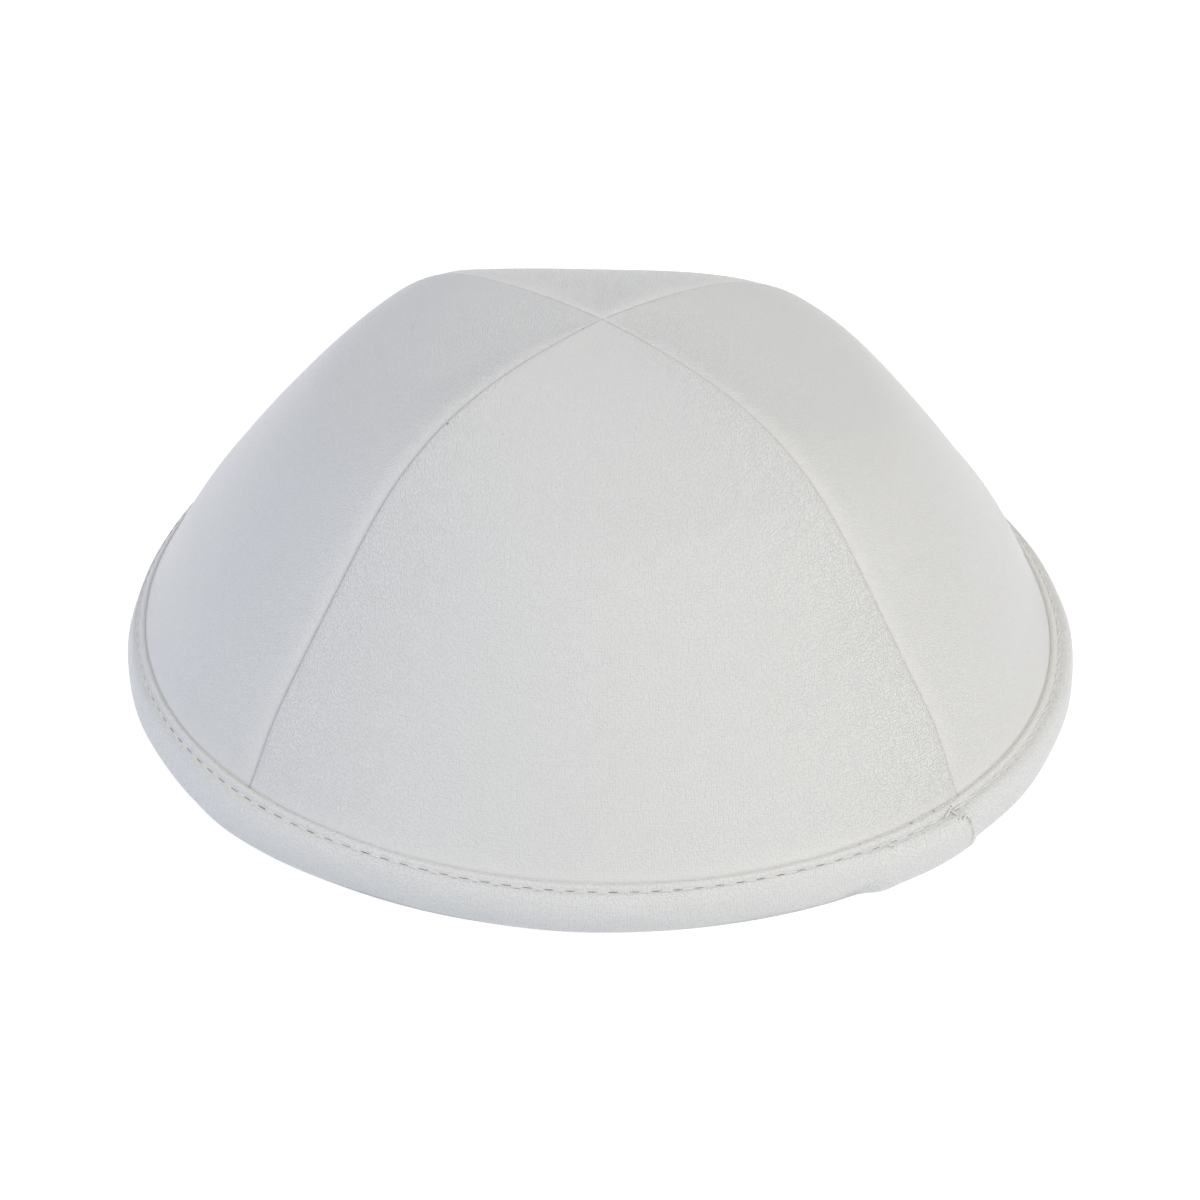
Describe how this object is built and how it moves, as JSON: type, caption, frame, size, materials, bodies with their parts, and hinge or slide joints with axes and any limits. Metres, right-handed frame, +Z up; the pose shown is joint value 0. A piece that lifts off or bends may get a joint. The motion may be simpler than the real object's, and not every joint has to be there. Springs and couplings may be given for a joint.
{
  "type": "kippah",
  "caption": "Shallow leather skullcap of sewn gores with a folded, topstitched leather binding round its rim; hollow and open below.",
  "frame": {"origin": "on the floor, under the centre of the rim", "axes": "+Z up through the crown; -Y towards the front, where one gore faces the viewer; +X to the viewer's right"},
  "size_m": [0.1688, 0.1688, 0.0663],
  "materials": {
    "crown_leather": "off-white smooth leather with a fine pebble grain and a soft sheen",
    "binding_leather": "off-white folded leather strip with white topstitching"
  },
  "bodies": {
    "root": {"crown_panel_front": "crown_leather", "crown_panel_right": "crown_leather", "crown_panel_back": "crown_leather", "crown_panel_left": "crown_leather", "rim_binding": "binding_leather"}
  },
  "joints": []
}
